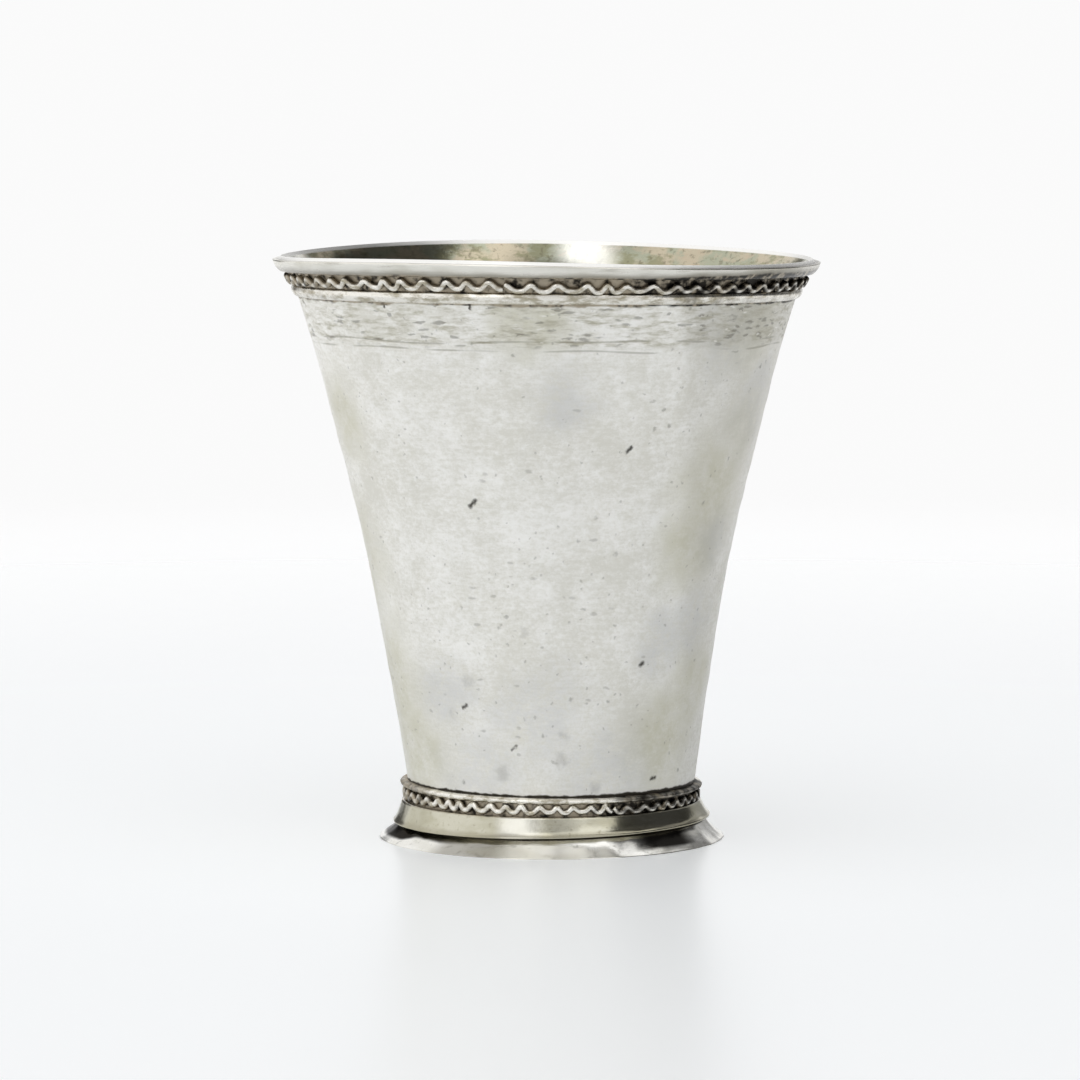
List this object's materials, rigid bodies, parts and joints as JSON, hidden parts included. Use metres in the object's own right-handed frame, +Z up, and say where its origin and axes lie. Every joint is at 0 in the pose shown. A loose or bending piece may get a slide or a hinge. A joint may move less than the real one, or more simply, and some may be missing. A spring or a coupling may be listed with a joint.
{
  "type": "silver beaker",
  "caption": "Trumpet-shaped silver drinking beaker with a flared lip, waved-wire rim moulding and a soldered collar foot.",
  "frame": {"origin": "centre of the flat ring that the foot stands on", "axes": "+Z up along the beaker's axis, -Y towards the picture's viewer, +X to the viewer's right"},
  "size_m": [0.089, 0.089, 0.095],
  "materials": {
    "worn_silver": "satin",
    "bright_silver": "gloss",
    "dull_wire": "satin",
    "yellowed_silver": "gloss"
  },
  "bodies": {
    "root": {"cup_body": "worn_silver", "rim_edge_band": "bright_silver", "rim_wave_wire": "dull_wire", "rim_bead_wire": "dull_wire", "foot_bead_wire": "dull_wire", "foot_wave_wire": "dull_wire", "foot_collar": "yellowed_silver", "foot_flange": "yellowed_silver"}
  },
  "joints": []
}
